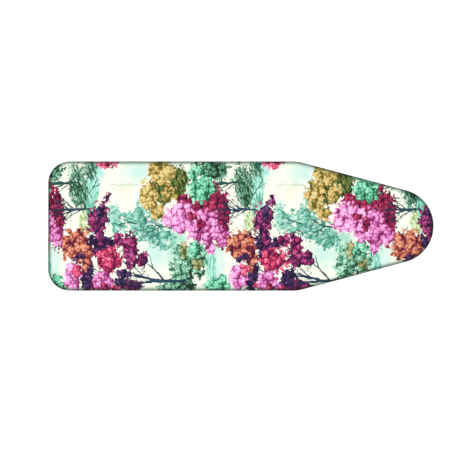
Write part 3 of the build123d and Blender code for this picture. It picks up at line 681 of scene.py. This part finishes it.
def half_outline():
    """The left half of the outline from the tail to the nose, as straight and round runs."""
    bend = SHOULDER_RADIUS * math.tan(TAPER / 2)
    nose_start = Vector((NOSE_X + NOSE_RADIUS * math.sin(TAPER), NOSE_RADIUS * math.cos(TAPER)))
    side = Vector((SHOULDER_X - bend, HALF_WIDTH))
    after = Vector((SHOULDER_X + bend * math.cos(TAPER), HALF_WIDTH - bend * math.sin(TAPER)))
    corner = Vector((-HALF_LENGTH + TAIL_CORNER, HALF_WIDTH - TAIL_CORNER))
    shoulder = Vector((side.x, HALF_WIDTH - SHOULDER_RADIUS))
    quarter = math.pi / 2
    return [
        ("line", Vector((-HALF_LENGTH, 0)), Vector((-HALF_LENGTH, corner.y)), math.pi),
        ("arc", corner, TAIL_CORNER, (math.pi, quarter)),
        ("line", Vector((corner.x, HALF_WIDTH)), side, quarter),
        ("arc", shoulder, SHOULDER_RADIUS, (quarter, quarter - TAPER)),
        ("line", after, nose_start, quarter - TAPER),
        ("arc", Vector((NOSE_X, 0)), NOSE_RADIUS, (quarter - TAPER, 0.0)),
    ]


def run_length(run):
    if run[0] == "line":
        return (run[2] - run[1]).length
    return run[2] * abs(run[3][1] - run[3][0])


HALF_RUNS = half_outline()
HALF_PERIMETER = sum(run_length(run) for run in HALF_RUNS)
PERIMETER = 2 * HALF_PERIMETER


def edge_at(distance):
    """Place, outward direction and curvature at a distance round the outline from the tail."""
    distance = distance % PERIMETER
    side = 1.0
    if distance > HALF_PERIMETER:
        distance = PERIMETER - distance
        side = -1.0
    for run in HALF_RUNS:
        length = run_length(run)
        if distance <= length or run is HALF_RUNS[-1]:
            share = min(distance / length, 1.0)
            if run[0] == "line":
                place = run[1].lerp(run[2], share)
                angle, curve = run[3], 0.0
            else:
                angle = run[3][0] + share * (run[3][1] - run[3][0])
                place = run[1] + run[2] * Vector((math.cos(angle), math.sin(angle)))
                curve = 1.0 / run[2]
            out = Vector((math.cos(angle), math.sin(angle)))
            return Vector((place.x, side * place.y)), Vector((out.x, side * out.y)), curve
        distance -= length


def mesh_object(name, bm):
    """A new smooth object in the scene from a finished bmesh."""
    bmesh.ops.recalc_face_normals(bm, faces=bm.faces)
    mesh = bpy.data.meshes.new(name)
    bm.to_mesh(mesh)
    bm.free()
    for polygon in mesh.polygons:
        polygon.use_smooth = True
    piece = bpy.data.objects.new(name, mesh)
    bpy.context.scene.collection.objects.link(piece)
    return piece


# Rings of points follow the outline in a band beside it. Inside the band they shrink towards a
# spine on the middle line, and are on it at an inset of 1.
SPINE_TAIL = -0.40
SPINE_NOSE = 0.44
SPINE_RINGS = 8
BAND = 60           # millimetres
EDGE_ZONE = BAND * MM
SPINE_INSETS = [EDGE_ZONE + (1.0 - EDGE_ZONE) * (1 - k / SPINE_RINGS) for k in range(SPINE_RINGS)]
SAME_POINT = 0.02 * MM
NO_EDGE = 0.005 * MM


def ring_points(count, inset):
    """Points round the outline, moved in by inset. Past the edge zone they near the spine."""
    points = []
    for i in range(count):
        place, out, _ = edge_at(PERIMETER * i / count)
        inner = place - out * min(inset, EDGE_ZONE)
        if inset > EDGE_ZONE:
            spine = Vector((min(max(inner.x, SPINE_TAIL), SPINE_NOSE), 0.0))
            inner = inner.lerp(spine, (inset - EDGE_ZONE) / (1.0 - EDGE_ZONE))
        points.append(inner)
    return points


def skin(bm, rings, cloth=None):
    """Quads between successive rings of points, with points that meet in the first ring joined.

    cloth gives the place of each point on the flat cloth, kept for the print.
    """
    layer = bm.verts.layers.float_vector.new("cloth") if cloth else None
    rows = [[bm.verts.new(p) for p in ring] for ring in rings]
    for row, places in zip(rows, cloth or []):
        for vert, place in zip(row, places):
            vert[layer] = place
    for low, high in zip(rows, rows[1:]):
        for i in range(len(low)):
            j = (i + 1) % len(low)
            bm.faces.new((low[i], low[j], high[j], high[i]))
    bmesh.ops.remove_doubles(bm, verts=rows[0], dist=SAME_POINT)
    bmesh.ops.dissolve_degenerate(bm, dist=NO_EDGE, edges=bm.edges)
    return rows


# ---- cover --------------------------------------------------------------------------------

RING_COUNT = 1080
CLOTH_THICKNESS = 0.5 * MM
GATHER_PITCH = 11 * MM
TIGHT_CURVE = 5.0       # per metre: every arc of the outline curves more than this
# In from the outline, depth below the top and how far gathers stand out, in millimetres
COVER_SECTION = [
    (46, 0.0, 0.0), (34, 0.0, 0.0), (26, 0.05, 0.0), (20, 0.2, 0.0), (15.5, 0.5, 0.0), (12, 0.95, 0.0),
    (9, 1.6, 0.0), (6.6, 2.5, 0.0), (4.6, 3.7, 0.05), (3.0, 5.2, 0.1), (1.8, 7.0, 0.15),
    (1.0, 9.2, 0.2), (0.75, 12, 0.3), (0.95, 15, 0.4), (1.0, 18, 0.5), (0.8, 21, 0.6), (0.6, 24, 0.7),
    (0.65, 26.3, 0.8), (1.2, 28.1, 0.9), (2.6, 29.4, 1.1), (5.0, 30.0, 1.4), (8.5, 30.1, 1.7),
    (12.5, 30.1, 1.9), (17, 30.1, 1.9), (21, 30.0, 1.7), (24.5, 29.8, 1.2), (27, 29.4, 0.7),
    (29.5, 29.0, 0.5), (33, 28.9, 0.6), (36, 29.2, 0.9), (37.7, 30.2, 1.2), (37.9, 31.4, 1.2),
    (36.6, 32.5, 1.1), (33.6, 33.0, 0.9), (30.6, 32.8, 0.7), (28.4, 32.0, 0.5), (27.2, 31.0, 0.3),
]
TOP_DEPTH = 2           # down to here, in millimetres, the cloth lies on the top face
SOFT_SCALE = 7
SOFT_HEIGHT = 0.25 * MM


def gather(distance, curve):
    """How far a gather of the cloth stands out here, from 0 to 1: less on the straight sides."""
    tight = 1.0 if curve > TIGHT_CURVE else 0.45
    drift = noise.noise(Vector((distance * 9.0, 0.0, 0.3))) * 5.0
    wave = 0.5 + 0.5 * math.sin(distance * 2 * math.pi / GATHER_PITCH + drift)
    size = 0.6 + 0.4 * noise.noise(Vector((distance * 30.0, 7.1, 0.0)))
    return tight * size * wave**1.6


def softness(place):
    """How far the padding lifts or lowers the cloth here."""
    return noise.noise(Vector((place.x * SOFT_SCALE, place.y * SOFT_SCALE, 2.0))) * SOFT_HEIGHT


def cover_point(distance, edge, inset, depth, stand, way):
    """One point of the cloth: inset and depth, pushed out along way by the gathers."""
    place, out, curve = edge
    push = stand * MM * gather(distance, curve)
    flat = place - out * (inset * MM) + out * (push * way[0])
    soft = softness(flat) if depth < TOP_DEPTH else 0.0
    return Vector((flat.x, flat.y, TOP - depth * MM + push * way[1] + soft))


def build_cover():
    """The cloth, from the spine out over the edge and round to the hem, as one surface."""
    rings = [
        [Vector((p.x, p.y, TOP + softness(p))) for p in ring_points(RING_COUNT, inset)]
        for inset in SPINE_INSETS
    ]
    cloth = [list(ring) for ring in rings]
    section = [(BAND, 0.0, 0.0)] + COVER_SECTION
    distances = [PERIMETER * i / RING_COUNT for i in range(RING_COUNT)]
    edges = [edge_at(distance) for distance in distances]
    reach = -BAND
    for k, (inset, depth, stand) in enumerate(section):
        before = section[max(k - 1, 0)]
        after = section[min(k + 1, len(section) - 1)]
        run = Vector((after[0] - before[0], after[1] - before[1])).normalized()
        if k:
            reach += math.hypot(inset - before[0], depth - before[1])
        cloth.append([(place + out * (reach * MM)).to_3d() for place, out, _ in edges])
        way = (run.y, run.x)
        rings.append(
            [cover_point(d, edge, inset, depth, stand, way) for d, edge in zip(distances, edges)]
        )
    bm = bmesh.new()
    skin(bm, rings, cloth)
    cover = mesh_object("printed_cover", bm)
    thick = cover.modifiers.new("cloth", "SOLIDIFY")
    thick.thickness = CLOTH_THICKNESS
    thick.offset = -1.0
    return cover


cover = build_cover()
dress(cover, "cover")
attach(cover, "board")
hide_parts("cover")

# ---- padding ------------------------------------------------------------------------------

PAD_COUNT = 540
LUMP_SCALE = 40
LUMP_HEIGHT = 0.12 * MM
# In from the outline and depth below the top, in millimetres, from the top face round to the bottom
FOAM_SECTION = [
    (46, 0.8), (30, 0.82), (21, 1.05), (15, 1.55), (11, 2.25), (8.4, 3.1), (6.6, 4.1), (5.8, 5.1),
    (6.4, 5.95), (12, 6.0), (40, 6.0),
]
FELT_SECTION = [
    (46, 6.1), (20, 6.1), (6.0, 6.15), (4.4, 6.5), (3.2, 7.4), (2.6, 8.4), (3.4, 9.0), (8, 9.05),
    (20, 9.05), (40, 9.05),
]


def pad_between(name, section):
    """A soft layer of the board: closed on the spine above and below, with a rounded edge."""
    bm = bmesh.new()
    top_depth, bottom_depth = section[0][1], section[-1][1]
    plan = [(inset, top_depth) for inset in SPINE_INSETS]
    plan += [(inset * MM, depth) for inset, depth in section]
    plan += [(inset, bottom_depth) for inset in reversed(SPINE_INSETS)]
    rings = []
    for inset, depth in plan:
        ring = []
        for p in ring_points(PAD_COUNT, inset):
            lump = noise.noise(Vector((p.x * LUMP_SCALE, p.y * LUMP_SCALE, depth))) * LUMP_HEIGHT
            ring.append(Vector((p.x, p.y, TOP - depth * MM + lump)))
        rings.append(ring)
    rows = skin(bm, rings)
    bmesh.ops.remove_doubles(bm, verts=[v for v in rows[-1] if v.is_valid], dist=SAME_POINT)
    return mesh_object(name, bm)


foam = pad_between("foam_pad_soft", FOAM_SECTION)
dress(foam, "foam")
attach(foam, "board")
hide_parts("foam_pad")

felt = pad_between("felt_underlay_soft", FELT_SECTION)
dress(felt, "felt")
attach(felt, "board")
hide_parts("felt_underlay")

# ---- hem stitching ------------------------------------------------------------------------

STITCH_PITCH = 3.4 * MM
STITCH_LENGTH = 2.5 * MM
THREAD = 0.35 * MM
STITCH_SIDES = 5
STITCH_INSET, STITCH_DEPTH, STITCH_STAND = 30.6, 33.1, 0.7   # just under the hem, in millimetres
THREAD_LIFT = 0.1 * MM      # how far the thread stands below the hem
# Along a stitch: share of its length, how deep it sinks in the cloth in millimetres, and its
# thickness in threads
STITCH = [(0.0, 0.3, 0.55), (0.2, 0.0, 1.0), (0.8, 0.0, 1.0), (1.0, 0.3, 0.55)]


def strand(bm, path, radii, sides):
    """A round strand along a path, closed at its ends."""
    loops = []
    turns = [2 * math.pi * k / sides for k in range(sides)]
    for point, behind, ahead, radius in zip(path, path[:1] + path, path[1:] + path[-1:], radii):
        along = (ahead - behind).normalized()
        across = along.cross(Vector((0.13, 0.27, 0.95))).normalized()
        up = across.cross(along)
        circle = [point + across * radius * math.cos(a) + up * radius * math.sin(a) for a in turns]
        loops.append([bm.verts.new(place) for place in circle])
    for low, high in zip(loops, loops[1:]):
        for k in range(sides):
            bm.faces.new((low[k], low[(k + 1) % sides], high[(k + 1) % sides], high[k]))
    bm.faces.new(loops[0][::-1])
    bm.faces.new(loops[-1])


def build_stitches():
    bm = bmesh.new()
    radii = [THREAD * thickness for _, _, thickness in STITCH]
    for k in range(int(PERIMETER / STITCH_PITCH)):
        path = []
        for share, sink, _ in STITCH:
            distance = k * STITCH_PITCH + share * STITCH_LENGTH
            point = cover_point(
                distance, edge_at(distance), STITCH_INSET, STITCH_DEPTH, STITCH_STAND, (0.0, -1.0)
            )
            path.append(point + Vector((0, 0, sink * MM - THREAD_LIFT)))
        strand(bm, path, radii, STITCH_SIDES)
    return mesh_object("hem_stitching", bm)


stitches = build_stitches()
stitches.data.materials.append(fibre("sewing_thread", "D8E4DC", "F2F6F0", 2500.0, 0.0001))
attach(stitches, "board")


def outline_area(count=400):
    """Area inside the outline, by the shoelace rule."""
    points = [edge_at(PERIMETER * i / count)[0] for i in range(count)]
    return abs(sum(a.cross(b) for a, b in zip(points, points[1:] + points[:1]))) / 2


BOARD_AREA = outline_area()

# ---- lock springs -------------------------------------------------------------------------

springs = bpy.data.objects.new("lock_springs", frame["nodes"]["jam_springs"].data.copy())
bpy.context.scene.collection.objects.link(springs)
dress(springs, "zinc_steel")
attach(springs, "carriage")
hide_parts("jam_springs")
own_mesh(springs)

# ---- stage, lights and camera -------------------------------------------------------------

# A pale floor that curves up into a round wall, open at the top: radius and height in metres
COVE = [(1e-6, 0), (3, 0), (8, 0), (10, 0.15), (11.4, 0.8), (12.2, 2.0), (12.5, 4.0), (12.5, 14.0)]
COVE_SIDES = 96
# The floor glows: painted light, brightest round the board, where it washes out the board's shadow, and
# dimmer towards the wall
GLOW_NEAR, GLOW_FAR = 1.2, 7.0      # the floor's glow fades between these distances
WORLD_LIGHT = 0.33


def cove_ring(radius, height):
    turns = [math.tau * k / COVE_SIDES for k in range(COVE_SIDES)]
    return [Vector((radius * math.cos(turn), radius * math.sin(turn), height)) for turn in turns]


def pale_glowing_floor():
    graph = Graph("pale_glowing_floor")
    tone = graph.noise(graph.place, 1.5, 2.0)
    colour = graph.ramp(tone, [(0.3, grey(0.9)), (0.7, grey(0.92))])
    # Painted light: the floor's glow is full within GLOW_NEAR of the middle and fades out to GLOW_FAR
    fading = graph.spread(graph.vector("LENGTH", graph.place), GLOW_NEAR, GLOW_FAR, smooth=True)
    glow = graph.ramp(fading, [(0.0, grey(1.0)), (1.0, grey(0.3))])
    graph.feed(graph.shader.inputs["Emission Color"], glow)
    return graph.finish(colour, 0.8, Specular_IOR_Level=0.1, Emission_Strength=0.45)


def build_floor():
    bm = bmesh.new()
    skin(bm, [cove_ring(radius, height) for radius, height in COVE])
    return mesh_object("floor", bm)


floor = build_floor()
floor.data.materials.append(pale_glowing_floor())

world = bpy.data.worlds.new("studio")
bpy.context.scene.world = world
world.use_nodes = True
world.node_tree.nodes["Background"].inputs["Color"].default_value = grey(1.0)
world.node_tree.nodes["Background"].inputs["Strength"].default_value = WORLD_LIGHT


def softbox(name, place, size, power):
    """A square lamp that faces the board and isn't seen itself."""
    light = bpy.data.lights.new(name, "AREA")
    light.shape = "SQUARE"
    light.size = size
    light.energy = power
    lamp = bpy.data.objects.new(name, light)
    lamp.location = place
    lamp.rotation_euler = (Vector((0, 0, TOP)) - Vector(place)).to_track_quat("-Z", "Y").to_euler()
    lamp.visible_camera = False
    bpy.context.scene.collection.objects.link(lamp)


softbox("overhead", (-0.3, 0.4, 5.2), size=3.0, power=141)

# The camera looks straight down on the board, from far enough for a nearly flat view
LENS = 85.0
SENSOR = 36.0
VIEW_WIDTH = 1408 * MM
VIEW_MIDDLE = -46.5 * MM
camera_data = bpy.data.cameras.new("camera")
camera_data.lens = LENS
camera_data.sensor_width = SENSOR
camera = bpy.data.objects.new("camera", camera_data)
camera.location = (VIEW_MIDDLE, 0.0, TOP + VIEW_WIDTH * LENS / SENSOR)
bpy.context.scene.collection.objects.link(camera)
bpy.context.scene.camera = camera
bpy.context.scene.view_settings.view_transform = "Standard"
